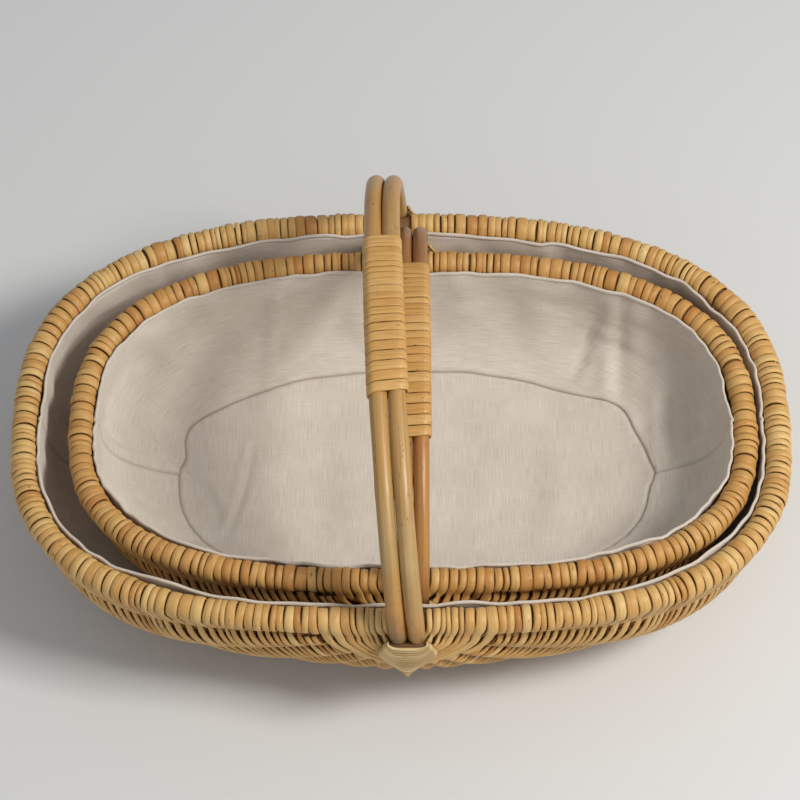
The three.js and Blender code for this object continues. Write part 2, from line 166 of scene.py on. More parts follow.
def on_line(points, run, want):
    """Points at the wanted distances along a polyline."""
    return np.stack([np.interp(want, run, points[:, k]) for k in range(3)], -1)


def resample(points, count):
    points = np.asarray(points, float)
    run = run_along(points)
    return on_line(points, run, np.linspace(0, run[-1], count))


def at_shares(points, shares):
    """Points at given shares of a polyline's length."""
    run = run_along(points)
    return on_line(points, run, np.asarray(shares) * run[-1])


def unit(vectors):
    return vectors / (np.linalg.norm(vectors, axis=-1, keepdims=True) + 1e-12)


def signed_power(values, power):
    return np.sign(values) * np.abs(values) ** power


def both(values):
    """The same values for a strip's thickness and its width."""
    return np.stack([values, values], -1)


def even_out(line, share):
    """Moves every inner sample towards its two neighbours, in place."""
    line[1:-1] = share * line[:-2] + (1 - 2 * share) * line[1:-1] + share * line[2:]


def from_ends(count):
    """Steps to the nearer end, for every sample of a line."""
    return np.minimum(np.arange(count), np.arange(count)[::-1])


def smooth_step(t):
    t = np.clip(t, 0, 1)
    return t * t * (3 - 2 * t)


def smooth_noise(values, count, seed):
    """Slow random curve of `count` samples with `values` knots, from -1 to 1."""
    g = np.random.default_rng(seed)
    knots = g.uniform(-1, 1, values)
    x = np.linspace(0, values - 1, count)
    i = np.clip(x.astype(int), 0, values - 2)
    t = x - i
    t = t * t * (3 - 2 * t)
    return knots[i] * (1 - t) + knots[i + 1] * t


# ------------------------------------------------------------------ mesh building
class Soup:
    """Collects swept strips into one mesh, with per-vertex colour data."""

    def __init__(self):
        self.v, self.f, self.run, self.tone = [], [], [], []
        self.count = 0

    def sweep(self, path, side, section, tone, scale=None, loop=False, along0=0.0):
        """section: (m, 2) across `side` and across the third axis; scale: (n, 2)."""
        path = np.asarray(path, float)
        n, m = len(path), len(section)
        if loop:
            tangent = np.roll(path, -1, 0) - np.roll(path, 1, 0)
        else:
            tangent = np.gradient(path, axis=0)
        tangent = unit(tangent)
        third = unit(np.cross(tangent, np.broadcast_to(np.asarray(side, float), path.shape)))
        side = np.cross(third, tangent)
        if scale is None:
            scale = np.ones((n, 2))
        across = np.asarray(section, float) * scale[:, None]
        ring = path[:, None] + side[:, None] * across[..., :1] + third[:, None] * across[..., 1:]
        data = np.empty((n, m, 3))
        data[..., 0] = (along0 + run_along(path))[:, None]
        data[..., 1:] = across
        base = self.count
        self.v.append(ring.reshape(-1, 3))
        self.run.append(data.reshape(-1, 3))
        self.tone.append(np.repeat(np.broadcast_to(np.asarray(tone, float), (n,)), m))
        last = n if loop else n - 1
        i = np.arange(last)[:, None] * m
        k = ((np.arange(last) + 1) % n)[:, None] * m
        j = np.arange(m)[None]
        jn = (j + 1) % m
        quads = np.stack([i + j, i + jn, k + jn, k + j], -1).reshape(-1, 4) + base
        self.f.append(quads)
        self.count += n * m
        if not loop:
            first = base + np.arange(m)
            for ids in (first[::-1], first + (n - 1) * m):
                for q in range(1, m // 2):
                    self.f.append(np.array([[ids[q - 1], ids[q], ids[-1 - q], ids[-q]]]))

    def shell(self, front, back, tone):
        """Closed slab between two equal grids."""
        rows, cols = front.shape[:2]
        v = np.concatenate([front.reshape(-1, 3), back.reshape(-1, 3)])
        far = rows * cols
        faces = []
        for i in range(rows - 1):
            for j in range(cols - 1):
                a = i * cols + j
                faces.append([a, a + 1, a + cols + 1, a + cols])
                faces.append([far + a, far + a + cols, far + a + cols + 1, far + a + 1])
        rim = list(range(cols)) + [i * cols + cols - 1 for i in range(1, rows)]
        rim += [(rows - 1) * cols + j for j in range(cols - 2, -1, -1)]
        rim += [i * cols for i in range(rows - 2, 0, -1)]
        for a, b in zip(rim, rim[1:] + rim[:1]):
            faces.append([a, far + a, far + b, b])
        self.v.append(v)
        self.f.append(np.array(faces) + self.count)
        self.run.append(v)
        self.tone.append(np.full(len(v), tone))
        self.count += len(v)

    def build(self, name, material):
        v = np.concatenate(self.v)
        f = np.concatenate(self.f)
        mesh = bpy.data.meshes.new(name)
        mesh.vertices.add(len(v))
        mesh.vertices.foreach_set("co", v.astype(np.float32).ravel())
        mesh.loops.add(len(f) * 4)
        mesh.loops.foreach_set("vertex_index", f.astype(np.int32).ravel())
        mesh.polygons.add(len(f))
        mesh.polygons.foreach_set("loop_start", np.arange(0, len(f) * 4, 4, dtype=np.int32))
        mesh.polygons.foreach_set("use_smooth", np.ones(len(f), bool))
        put_attribute(mesh, "run", np.concatenate(self.run))
        put_attribute(mesh, "tone", np.concatenate(self.tone))
        mesh.update(calc_edges=True)
        mesh.materials.append(material)
        return add_object(name, mesh)


def put_attribute(mesh, name, values):
    """Values for every vertex: vectors, or single numbers."""
    kind, key = ("FLOAT_VECTOR", "vector") if values.ndim == 2 else ("FLOAT", "value")
    data = mesh.attributes.new(name, kind, "POINT").data
    data.foreach_set(key, values.astype(np.float32).ravel())


def add_object(name, data):
    obj = bpy.data.objects.new(name, data)
    bpy.context.scene.collection.objects.link(obj)
    return obj


def attach(obj, bk, slot, *nodes):
    """The piece moves with its basket and stands for the named CAD nodes."""
    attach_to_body(obj, bk.body)
    if nodes:
        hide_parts(*nodes)
    return obj


def disc(radius, sides):
    a = 2 * math.pi * np.arange(sides) / sides
    return radius * np.stack([np.cos(a), np.sin(a)], -1)


def flat_oval(power, sides):
    """Unit section of a flattened rod: x across its thickness, y across its width."""
    return 0.5 * signed_power(disc(1.0, sides), 2 / power)


# ------------------------------------------------------------------ materials
class Nodes:
    """Small helper for node trees."""

    def __init__(self, name):
        self.mat = bpy.data.materials.new(name)
        self.mat.use_nodes = True
        self.tree = self.mat.node_tree
        self.bsdf = self.tree.nodes["Principled BSDF"]

    def link(self, a, b):
        self.tree.links.new(a, b)

    def surface(self, values):
        for name, value in values.items():
            self.bsdf.inputs[name].default_value = value

    def attribute(self, name):
        node = self.tree.nodes.new("ShaderNodeAttribute")
        node.attribute_name = name
        return node

    def feed(self, socket, value):
        """A number, a colour or another node's output into a socket."""
        if isinstance(value, (int, float)):
            socket.default_value = value
        elif isinstance(value, tuple):
            socket.default_value = (*value, 1.0)
        else:
            self.link(value, socket)

    def math(self, operation, a, b, clamp=False):
        node = self.tree.nodes.new("ShaderNodeMath")
        node.operation = operation
        node.use_clamp = clamp
        self.feed(node.inputs[0], a)
        self.feed(node.inputs[1], b)
        return node.outputs[0]

    def times(self, a, b):
        return self.math("MULTIPLY", a, b)

    def plus(self, a, b, clamp=False):
        return self.math("ADD", a, b, clamp)

    def less(self, a, b):
        return self.math("SUBTRACT", a, b)

    def noise(self, vector, detail):
        """Noise over coordinates that already carry its scale."""
        node = self.tree.nodes.new("ShaderNodeTexNoise")
        node.inputs["Scale"].default_value = 1.0
        node.inputs["Detail"].default_value = detail
        node.inputs["Roughness"].default_value = 0.55
        self.link(vector, node.inputs["Vector"])
        return node.outputs["Fac"]

    def scaled(self, vector, factors):
        node = self.tree.nodes.new("ShaderNodeVectorMath")
        node.operation = "MULTIPLY"
        self.link(vector, node.inputs[0])
        node.inputs[1].default_value = factors
        return node.outputs[0]

    def offset(self, vector, amount):
        combine = self.tree.nodes.new("ShaderNodeCombineXYZ")
        self.link(amount, combine.inputs[0])
        node = self.tree.nodes.new("ShaderNodeVectorMath")
        node.operation = "ADD"
        self.link(vector, node.inputs[0])
        self.link(combine.outputs[0], node.inputs[1])
        return node.outputs[0]

    def above(self, value, level, gain):
        """Rises from 0 to 1 where the value passes the level."""
        return self.math("MULTIPLY", self.math("SUBTRACT", value, level, clamp=True), gain, clamp=True)

    def ramp(self, fac, stops):
        node = self.tree.nodes.new("ShaderNodeValToRGB")
        elements = node.color_ramp.elements
        while len(elements) < len(stops):
            elements.new(0.5)
        for element, (pos, colour) in zip(elements, stops):
            element.position = pos
            element.color = (*colour, 1.0)
        self.link(fac, node.inputs[0])
        return node.outputs[0]

    def mix(self, fac, a, b, blend="MIX"):
        node = self.tree.nodes.new("ShaderNodeMix")
        node.data_type = "RGBA"
        node.blend_type = blend
        for slot, value in ((0, fac), (6, a), (7, b)):
            self.feed(node.inputs[slot], value)
        return node.outputs[2]

    def bump(self, height, strength, distance):
        node = self.tree.nodes.new("ShaderNodeBump")
        node.inputs["Strength"].default_value = strength
        node.inputs["Distance"].default_value = distance
        self.link(height, node.inputs["Height"])
        self.link(node.outputs[0], self.bsdf.inputs["Normal"])


def srgb(r, g, b):
    def one(c):
        c /= 255
        return c / 12.92 if c <= 0.04045 else ((c + 0.055) / 1.055) ** 2.4
    return (one(r), one(g), one(b))


def willow(name, stops, rough=0.5, streak=0.5, specks=0.6, grain=(60, 900, 900), own_spot=7.31):
    """Peeled willow or cane: tone per strip, streaks along the grain, dark specks and scars.

    own_spot moves every strip to its own place in the noise by its tone; 0 where tone runs along."""
    n = Nodes(name)
    run = n.attribute("run").outputs["Vector"]
    tone = n.attribute("tone").outputs["Fac"]
    shifted = n.offset(run, n.times(tone, own_spot))
    slow = n.noise(n.scaled(shifted, (28, 60, 60)), 2.0)
    fine = n.noise(n.scaled(shifted, grain), 4.0)
    base = n.plus(tone, n.times(n.less(slow, 0.5), 0.5), clamp=True)
    colour = n.ramp(base, stops)
    dark = n.ramp(fine, [(0.30, (0.62, 0.50, 0.38)), (0.52, (1.0, 1.0, 1.0)),
                         (0.75, (1.06, 1.05, 1.0))])
    colour = n.mix(streak, colour, n.mix(1.0, colour, dark, "MULTIPLY"))
    spot = n.noise(n.scaled(shifted, (210, 420, 420)), 1.0)
    spot = n.above(spot, 0.685, 9.0)
    colour = n.mix(n.times(spot, specks), colour, srgb(92, 58, 30))
    blotch = n.noise(n.scaled(shifted, (16, 30, 30)), 3.0)
    blotch = n.above(blotch, 0.56, 3.2)
    colour = n.mix(n.times(blotch, 0.45), colour, srgb(178, 112, 52))
    n.link(colour, n.bsdf.inputs["Base Color"])
    shine = n.plus(rough, n.times(n.less(fine, 0.5), 0.35))
    n.link(shine, n.bsdf.inputs["Roughness"])
    n.surface({"Specular IOR Level": 0.45})
    height = n.less(fine, n.times(spot, 0.6))
    n.bump(height, 0.55, 0.0004)
    return n.mat


PALE = srgb(232, 204, 148)
STRAW = srgb(220, 182, 116)
HONEY = srgb(206, 158, 90)
ORANGE = srgb(188, 130, 66)
BROWN = srgb(146, 92, 46)

CANE = {"rough": 0.36, "streak": 0.5, "specks": 0.6, "grain": (14, 520, 520), "own_spot": 0.0}
BIND = {"rough": 0.40, "specks": 0.5}
wrap_outer = willow("willow_outer", [(0.0, BROWN), (0.20, ORANGE), (0.42, HONEY),
                                     (0.72, STRAW), (1.0, PALE)])
wrap_inner = willow("willow_inner", [(0.0, BROWN), (0.28, ORANGE), (0.58, HONEY),
                                     (0.92, STRAW), (1.0, PALE)])
# the darkest stops of the cane ramps colour real darker stretches of cane and also the painted shade at
# the canes' front feet
cane_outer = willow("cane_outer", [(0.0, srgb(104, 82, 50)), (0.2, srgb(154, 112, 60)),
                                   (0.42, srgb(190, 142, 78)), (0.72, srgb(182, 149, 96)),
                                   (1.0, srgb(204, 174, 122))], **CANE)
cane_inner = willow("cane_inner", [(0.0, srgb(142, 96, 50)), (0.4, srgb(176, 122, 66)),
                                   (1.0, srgb(190, 140, 76))], **CANE)
bind_outer = willow("binding_outer", [(0.0, ORANGE), (0.45, HONEY), (1.0, STRAW)], **BIND)
bind_inner = willow("binding_inner", [(0.0, ORANGE), (0.5, HONEY), (1.0, STRAW)], **BIND)
fine_cane = willow("fine_cane", [(0.0, srgb(188, 150, 94)), (0.5, srgb(208, 176, 120)),
                                 (1.0, srgb(226, 200, 150))], rough=0.42, specks=0.25)
rod_brown = willow("rod_brown", [(0.0, srgb(96, 62, 32)), (1.0, srgb(150, 108, 62))], rough=0.6)


def linen(name):
    """Undyed plain-weave linen: fine threads both ways, slubs mostly one way, faint mottling, and painted
    shade along the seams.
    """
    n = Nodes(name)
    run = n.attribute("run").outputs["Vector"]
    seam = n.attribute("seam").outputs["Fac"]
    slub_a = n.noise(n.scaled(run, (1500, 55, 1)), 3.0)
    slub_b = n.noise(n.scaled(run, (60, 1300, 1)), 2.0)
    grain = n.noise(n.scaled(run, (1600, 1600, 1)), 1.0)
    slub = n.plus(n.times(slub_a, 0.74), n.times(slub_b, 0.26))
    tone = n.plus(n.times(slub, 0.75), n.times(grain, 0.25))
    colour = n.ramp(tone, [(0.30, srgb(194, 182, 166)), (0.50, srgb(213, 203, 190)),
                           (0.72, srgb(229, 221, 210))])
    mottle = n.noise(n.scaled(run, (26, 26, 26)), 3.0)
    tint = n.ramp(mottle, [(0.3, (0.93, 0.915, 0.89)), (0.7, (1.02, 1.02, 1.02))])
    colour = n.mix(1.0, colour, tint, "MULTIPLY")
    # painted shade: the seam grooves are darkened towards a brown grey
    colour = n.mix(n.times(seam, 0.55), colour, srgb(120, 104, 86))
    n.link(colour, n.bsdf.inputs["Base Color"])
    n.surface({"Roughness": 0.92, "Specular IOR Level": 0.15,
               "Sheen Weight": 0.2, "Sheen Roughness": 0.6})
    n.bump(tone, 0.5, 0.0006)
    return n.mat


linen_mat = linen("linen_cloth")

RIB_ANGLES = range(15, 180, 15)


# ------------------------------------------------------------------ weavers
RIB_STARTS = {15: 0.085, 30: 0.075, 45: 0.065, 60: 0.065, 75: 0.065, 90: 0.045}
ROD_R = 3.2 * MM              # ribs as drawn
ROD_OUT = 1.2 * MM            # their centrelines outside the bowl surface
CREST = 5.5 * MM              # a weaver's middle where it passes outside a rib
TROUGH = -2.9 * MM            # and where it passes inside one
OUTSIDE_RIM = 5.6 * MM        # a row's middle where it leaves the rim outside
INSIDE_RIM = -3.4 * MM        # and inside
OUT_ROW, BACK_ROW = 0.22, 0.28      # how far a turn's two rows stand off it, in turns
STRIP_WIDE, STRIP_LEAST, STRIP_MOST = 5.25, 3.0, 8.0    # widths of the turns, in mm
WEAVER_OVAL = 2.35            # how square a weaver's section is; 2 is a true oval
NARROWS = 48 * MM             # the turns are narrower this near the handle
FRONT_END, BACK_START = 0.335, 0.665    # where the middle zone of the weaving lies
FINE_STEPS, ROW_STEPS, TURN_STEPS = 241, 85, 15     # points to measure a row by, of a row, of a turn
TURN_IN, TURN_OUT = 236, -38    # a turn's ends in degrees round the hoop, 0 outside and 90 on top


def rim_wraps(bk, gen):
    """Places and widths of the weaver's turns along one side of the rim."""
    beside = 2 * bk.cane_r + 0.8 * MM
    total = bk.half_rim
    pos = beside
    wander = 0.0
    wraps = []
    while pos < total - beside - 2.0 * MM:
        near = min(pos, total - pos)
        wander = 0.45 * wander + 0.24 * gen.normal()
        width = float(np.clip(STRIP_WIDE * math.exp(wander), STRIP_LEAST, STRIP_MOST)) * MM
        if near < NARROWS:
            width *= 0.62 + 0.38 * near / NARROWS
        gap = (0.10 + (gen.uniform(0.25, 0.7) if gen.random() < 0.35 else 0.0)) * MM
        wraps.append((pos + width / 2, width, width + gap))
        pos += width + gap
    return wraps


def weaver_row(bk, f, pitch, which, gen):
    """One crossing of the basket at row fraction f, from the right rim to the left rim.

    Row 0 leaves the rim from its outside and goes inside the first rib; row 1 comes from inside
    the rim and goes outside the first rib. Returns points, thickness axes and widths."""
    u_fine = np.linspace(0, 1, FINE_STEPS)
    run = run_along(bk.at(bk.grid, f, u_fine))
    rim_off = OUTSIDE_RIM if which == 0 else INSIDE_RIM
    knots, offs = [0.0], [rim_off]
    for j, angle in enumerate(RIB_ANGLES):
        if min(f, 1 - f) >= RIB_STARTS[min(angle, 180 - angle)]:
            knots.append(angle / 180)
            offs.append(CREST if (j + which) % 2 == 1 else TROUGH)
    knots = np.array(knots + [1.0])
    offs = np.array(offs + [rim_off])
    leave = (bk.rim_r - 1.2 * MM) if which == 0 else (bk.rim_r + 0.2 * MM)
    leave = min(leave, run[-1] * 0.35)
    u = np.linspace(0, 1, ROW_STEPS)
    run_u = np.interp(u, u_fine, run)
    u = u[(run_u > leave) & (run_u < run[-1] - leave)]
    if len(u) < 4:
        u = np.interp(np.linspace(leave, run[-1] - leave, 6), run, u_fine)
    seg = np.clip(np.searchsorted(knots, u) - 1, 0, len(knots) - 2)
    t = smooth_step((u - knots[seg]) / (knots[seg + 1] - knots[seg]))
    swell = bk.swell(f, u)
    off = offs[seg] * (1 - t) + offs[seg + 1] * t + swell
    points = bk.at(bk.grid, f, u)
    normals = bk.at(bk.normal, f, u)
    across = bk.at(bk.spacing, f, u) * pitch / bk.half_rim
    share = 0.50 + 0.30 * smooth_step((off - swell - 0.5 * MM) / (4.5 * MM))
    if which == 0:
        # outside run between the rim and the first rib: wraps lie side by side
        first = knots[1]
        for end in (u, 1 - u):
            share = np.maximum(share, 0.95 - 0.42 * smooth_step((end / first - 0.25) / 0.6))
    width = np.clip(across * share, 1.3 * MM, 5.6 * MM)
    wobble = np.convolve(gen.normal(0, 0.22 * MM, len(u)), np.ones(7) / 7, "same")
    sideways = unit(np.cross(np.gradient(points, axis=0), normals))
    points = points + normals * off[:, None] + sideways * wobble[:, None]
    return points, normals, width


def rim_turn(bk, f, u_end, radius, width, lean, wave):
    """Turn of the weaver over the rim, from inside below to outside below."""
    centre = bk.at(bk.grid, f, u_end)
    ahead = bk.at(bk.grid, min(f + 0.004, 1), u_end) - bk.at(bk.grid, max(f - 0.004, 0), u_end)
    along = ahead / np.linalg.norm(ahead)
    out = np.array([along[1], -along[0], 0.0])
    out /= np.linalg.norm(out)
    if out[0] * (centre[0] - bk.cx) + out[1] * centre[1] < 0:
        out = -out
    up = np.array([0, 0, 1.0])
    phi = np.radians(np.linspace(TURN_IN, TURN_OUT, TURN_STEPS))
    ray = out * np.cos(phi)[:, None] + up * np.sin(phi)[:, None]
    # the lower outside end already bends towards the nearer crossing
    toward = -1 if f < 0.5 else 1
    near = math.exp(-(min(f, 1 - f) * bk.half_rim / (55 * MM)) ** 2)
    bend = (0.7 + 2.6 * near) * MM * smooth_step((math.radians(35) - phi) / math.radians(80))
    shift = lean * np.sin(phi - 0.5) + wave * np.sin(2 * phi) + toward * bend
    points = centre + radius * ray + along * shift[:, None]
    return points, ray, np.full(TURN_STEPS, width)


def weavers(bk):
    """Every turn over the rim joins two rows: out over the basket and back again."""
    gen = np.random.default_rng(SEED + (1 if bk.prefix == "outer" else 2))
    wraps = rim_wraps(bk, gen)
    total = bk.half_rim
    groups = {"front": Soup(), "middle": Soup(), "back": Soup()}
    section = flat_oval(WEAVER_OVAL, 8)
    drift = smooth_noise(max(len(wraps) // 5, 4), len(wraps), SEED + 5)
    hue = smooth_noise(max(len(wraps) // 4, 4), len(wraps), SEED + 6)
    for k, (pos, width, pitch) in enumerate(wraps):
        f = pos / total
        step = pitch / total
        thick = gen.uniform(1.7, 2.2) * MM
        turns = []
        for u_end in (1.0, 0.0):
            radius = bk.rim_r - thick / 2 + (gen.uniform(-0.7, 0.45) + 0.35 * drift[k]) * MM
            turns.append(rim_turn(bk, f, u_end, radius, width * gen.uniform(0.97, 1.03),
                                  gen.normal(0, 0.45) * MM, gen.normal(0, 0.18) * MM))
        out_row = weaver_row(bk, f - OUT_ROW * step, pitch, 0, gen)
        back_row = weaver_row(bk, f + BACK_ROW * step, pitch, 1, gen)
        left, right = turns
        path, side, w = (np.concatenate([left[c], out_row[c][::-1], right[c][::-1], back_row[c]])
                         for c in range(3))
        for _ in range(2):
            even_out(path, 0.2)
            even_out(w, 0.25)
        path[:, 2] = np.maximum(path[:, 2], bk.floor + thick * 0.5)
        scale = np.stack([np.full(len(path), thick), w], -1)
        tone = 0.57 + 0.11 * hue[k] + gen.normal(0, 0.085)
        if gen.random() < 0.06:
            tone -= gen.uniform(0.1, 0.25)
        part = "front" if f < FRONT_END else ("middle" if f < BACK_START else "back")
        groups[part].sweep(path, side, section, float(np.clip(tone, 0.05, 1)), scale,
                           along0=gen.uniform(0, 5))
    for part, soup in groups.items():
        obj = soup.build(f"{bk.prefix}_weavers_{part}", bk.look["wrap"])
        nodes = [f"{bk.prefix}_weave_{part}"]
        if part == "middle":
            nodes += [bk.prefix + "_rim_wrap_left", bk.prefix + "_rim_wrap_right"]
        attach(obj, bk, bk.prefix + "_weave", *nodes)


def frame_rods(bk):
    """Rim hoop, keel and ribs as smooth rods."""
    right = bk.rib_line(0.0)
    left = bk.rib_line(math.pi)[::-1]
    loop = resample(np.concatenate([right, left[1:]]), 161)[:-1]
    soup = Soup()
    soup.sweep(loop, [0, 0, 1], disc(HOOP_R, 12), 0.5, loop=True)
    hoop = soup.build(bk.prefix + "_hoop_rod", rod_brown)
    attach(hoop, bk, bk.prefix + "_rod", bk.prefix + "_rim_hoop")
    letters = {15: "a", 30: "b", 45: "c", 60: "d", 75: "e"}
    for angle in RIB_ANGLES:
        mirrored = min(angle, 180 - angle)
        start = RIB_STARTS[mirrored]
        count = 121
        f = np.linspace(start, 1 - start, count)
        u = np.full(count, angle / 180)
        normals = bk.at(bk.normal, f, u)
        line = bk.at(bk.grid, f, u) + normals * (ROD_OUT + bk.swell(f, u))[:, None]
        taper = np.clip(from_ends(count) / 8.0, 0.35, 1)
        line[:, 2] = np.maximum(line[:, 2], bk.floor + 2.1 * MM + ROD_R)
        soup = Soup()
        soup.sweep(line, normals, disc(ROD_R, 10), 0.5, both(taper))
        if angle == 90:
            node = bk.prefix + "_keel"
        else:
            node = f"{bk.prefix}_rib_{'right' if angle < 90 else 'left'}_{letters[mirrored]}"
        attach(soup.build(node + "_rod", rod_brown), bk, bk.prefix + "_rod", node)


# ------------------------------------------------------------------ handle
HANDLE_POINTS = 181
BINDING_TURNS = {"outer": 22, "inner": 24}
FIRST_TURN, LAST_TURN = 1.4, 0.68       # how wide the turns are at the front and at the tip


def handle(bk):
    """Two canes side by side under one binding."""
    gen = np.random.default_rng(SEED + 20 + len(bk.prefix))
    line = bk.arch_line()
    foot_front, foot_back = line[0].copy(), line[-1].copy()
    foot_front[2] = foot_back[2] = bk.cane_foot
    line = resample(np.concatenate([[foot_front], line, [foot_back]]), HANDLE_POINTS)
    canes(bk, gen, line)
    binding(bk, gen, line)


def canes(bk, gen, line):
    n = len(line)
    for sign, part in ((-1, "left"), (1, "right")):
        drift_x = smooth_noise(9, n, SEED + 31 + len(bk.prefix)) * 0.3 * MM
        drift_z = smooth_noise(8, n, SEED + 36 + sign + len(bk.prefix)) * 0.35 * MM
        path = line + np.array([sign * (bk.cane_r + 0.15 * MM), 0, 0])
        path = path + np.stack([drift_x, 0 * drift_x, drift_z], -1)
        thick = 1 + 0.03 * smooth_noise(12, n, SEED + 41 + sign)
        for spot in gen.uniform(0.08, 0.92, 3):
            d = (np.linspace(0, 1, n) - spot) * n / 2.2
            thick += 0.04 * np.exp(-d * d)
        thick *= 0.86 + 0.14 * np.clip(from_ends(n) / 2.0, 0, 1)
        t = np.linspace(0, 1, n)
        front, crown = bk.look["cane_tones"]
        tone = crown + (front - crown) * np.clip(1 - t / 0.42, 0, 1) ** 0.8
        # painted shade: the tone drops sharply near the front foot, darkening the bottom of each cane
        # there
        tone = tone - 0.75 * np.clip(1 - t / 0.13, 0, 1)
        tone = tone + (0.07 if sign > 0 else -0.05) + 0.08 * smooth_noise(10, n, SEED + 51 + sign)
        soup = Soup()
        soup.sweep(path, [1, 0, 0], disc(bk.cane_r + 0.08 * MM, 20), np.clip(tone, 0, 1),
                   both(thick), along0=gen.uniform(0, 4))
        obj = soup.build(f"{bk.prefix}_cane_{part}", bk.look["cane"])
        attach(obj, bk, bk.prefix + "_cane", f"{bk.prefix}_handle_cane_{part}")


def binding(bk, gen, line):
    """One flat strip in turns that grow finer towards its tip at the back."""
    arc = line[np.abs(line[:, 1]) < bk.bind_half + 0.5 * MM]
    run = run_along(arc)
    turns = BINDING_TURNS[bk.prefix]
    pitch = np.linspace(FIRST_TURN, LAST_TURN, turns) * (1 + 0.1 * gen.uniform(-1, 1, turns))
    pitch *= run[-1] / pitch.sum()
    soup = Soup()
    pos = 0.0
    reach = bk.cane_r + 0.15 * MM
    sides = 64
    a = np.linspace(0, 2 * math.pi, sides + 1)[:-1]
    for k in range(turns):
        mid = pos + pitch[k] / 2
        pos += pitch[k]
        before, centre, after = on_line(arc, run, [mid - 2 * MM, mid, mid + 2 * MM])
        along = after - before
        along /= np.linalg.norm(along)
        xa = np.array([1.0, 0, 0])
        xa -= along * xa.dot(along)
        xa /= np.linalg.norm(xa)
        up = np.cross(xa, along)
        if up[2] < 0:
            up = -up
        thin = (1.0 + 0.55 * (1 - k / turns)) * MM
        rad = reach + thin / 2 + gen.uniform(0, 0.18) * MM
        # the strip bridges the dip between the canes and sinks into it a little
        cx = np.cos(a) * rad + np.clip(np.cos(a) * 3, -1, 1) * reach
        cz = np.sin(a) * rad * (1 - 0.05 * (1 - np.clip(np.abs(np.cos(a)) * 1.6, 0, 1)))
        slant = (pitch[k] * 0.2) * np.cos(a) + gen.uniform(-0.2, 0.2) * MM
        ring = centre + xa * cx[:, None] + up * cz[:, None] + along * slant[:, None]
        side = xa * np.cos(a)[:, None] + up * np.sin(a)[:, None]
        width = pitch[k] * gen.uniform(0.93, 1.0)
        scale = np.stack([np.full(sides, thin), np.full(sides, width)], -1)
        tone = float(np.clip(gen.normal(0.55, 0.09), 0.1, 1))
        soup.sweep(ring, side, flat_oval(3.4, 10), tone, scale, loop=True,
                   along0=gen.uniform(0, 4))
    obj = soup.build(bk.prefix + "_binding_turns", bk.look["bind"])
    attach(obj, bk, bk.prefix + "_binding", bk.prefix + "_grip_binding")


# ------------------------------------------------------------------ ear lashings
SHOULDER = -12 * MM           # the shield is widest this far under the rim
EAR_HALF = 18.5 * MM          # and this wide there, to each side
STRANDS, STRAND_STEPS = 13, 81


class Shield:
    """Shape of the lashing under the ends of the canes: x across, z up from the rim."""

    def __init__(self, bk):
        self.bk = bk
        self.tip = -41.5 * MM * bk.rim_r / (9.4 * MM)
        self.top_half = 2 * bk.cane_r + 0.9 * MM

    def wall(self, z):
        q = np.clip(-z / self.bk.depth, 0, 0.97)
        return self.bk.b * (1 - q ** POWER) ** (1 / POWER)

    def edge(self, z):
        up = np.clip(z / SHOULDER, 0, 1)
        down = np.clip((z - SHOULDER) / (self.tip - SHOULDER), 0, 1)
        return (self.top_half + (EAR_HALF - self.top_half) * up) * (1 - down ** 1.1) + 0.8 * MM

    def face(self, x, z):
        """How far out the strands lie: over rim and wall, drawn up over the canes."""
        bk = self.bk
        rim = bk.b + np.sqrt(np.clip(bk.rim_r ** 2 - z ** 2, 0, None))
        near = np.hypot(x, np.hypot(z, bk.b - self.wall(z)))
        wall = self.wall(z) + CREST + 1.6 * MM + 0.9 * SWELL * np.exp(-(near / SWELL_REACH) ** 2)
        base = np.where(z > -0.75 * bk.rim_r, np.maximum(rim, wall), wall) + 0.8 * MM
        peak = bk.arch_half + bk.cane_r + 0.4 * MM
        peak = peak + (bk.b + 14.5 * MM - peak) * np.clip(z / self.tip, 0, 1) ** 0.8
        w = np.clip(np.abs(x) / self.edge(z), 0, 1)
        return base + np.maximum(peak - base, 0.6 * MM) * np.sqrt(np.clip(1 - w ** 2.4, 0, 1))

    def place(self, sign, x, y, z):
        foot = self.bk.foot_front if sign < 0 else self.bk.foot_back
        return np.stack([foot + x, sign * y, self.bk.z + z], -1)


def strands(shield, sign, gen):
    """Fine strands hung in loops, each wider and more pointed than the last."""
    bk = shield.bk
    soup = Soup()
    t = np.linspace(-1, 1, STRAND_STEPS)
    for k in range(STRANDS):
        q = k / (STRANDS - 1)
        half = shield.top_half + (EAR_HALF - shield.top_half) * q ** 0.8
        top = 0.5 * MM + (SHOULDER - 0.5 * MM) * q
        bottom = bk.cane_foot - bk.z - 1.3 * MM
        bottom = bottom + (shield.tip - bottom) * q ** 1.02
        x = half * np.sign(t) * np.abs(np.sin(t * math.pi / 2)) ** (1.0 if q < 0.6 else 1.15)
        z = bottom + (top - bottom) * np.abs(x / half) ** (5.0 - 3.75 * q ** 0.55)
        y = shield.face(x, z) + gen.uniform(0, 0.3) * MM
        y = y - np.clip((np.abs(t) - 0.88) / 0.12, 0, 1) ** 2 * 2.6 * MM
        path = resample(shield.place(sign, x, y, z), STRAND_STEPS)
        middle = 1 - np.abs(t) ** 1.6
        w = (0.75 + 1.65 * middle) * MM * gen.uniform(0.92, 1.05)
        thick = (1.1 + 1.2 * middle) * MM
        tone = float(np.clip(gen.normal(0.5, 0.2), 0.05, 1))
        normal = np.stack([x * 0.012 / MM * 0.05, 0 * x + sign, 0 * x - 0.12], -1)
        soup.sweep(path, normal, flat_oval(2.3, 8), tone, np.stack([thick, w], -1),
                   along0=gen.uniform(0, 4))
    return soup


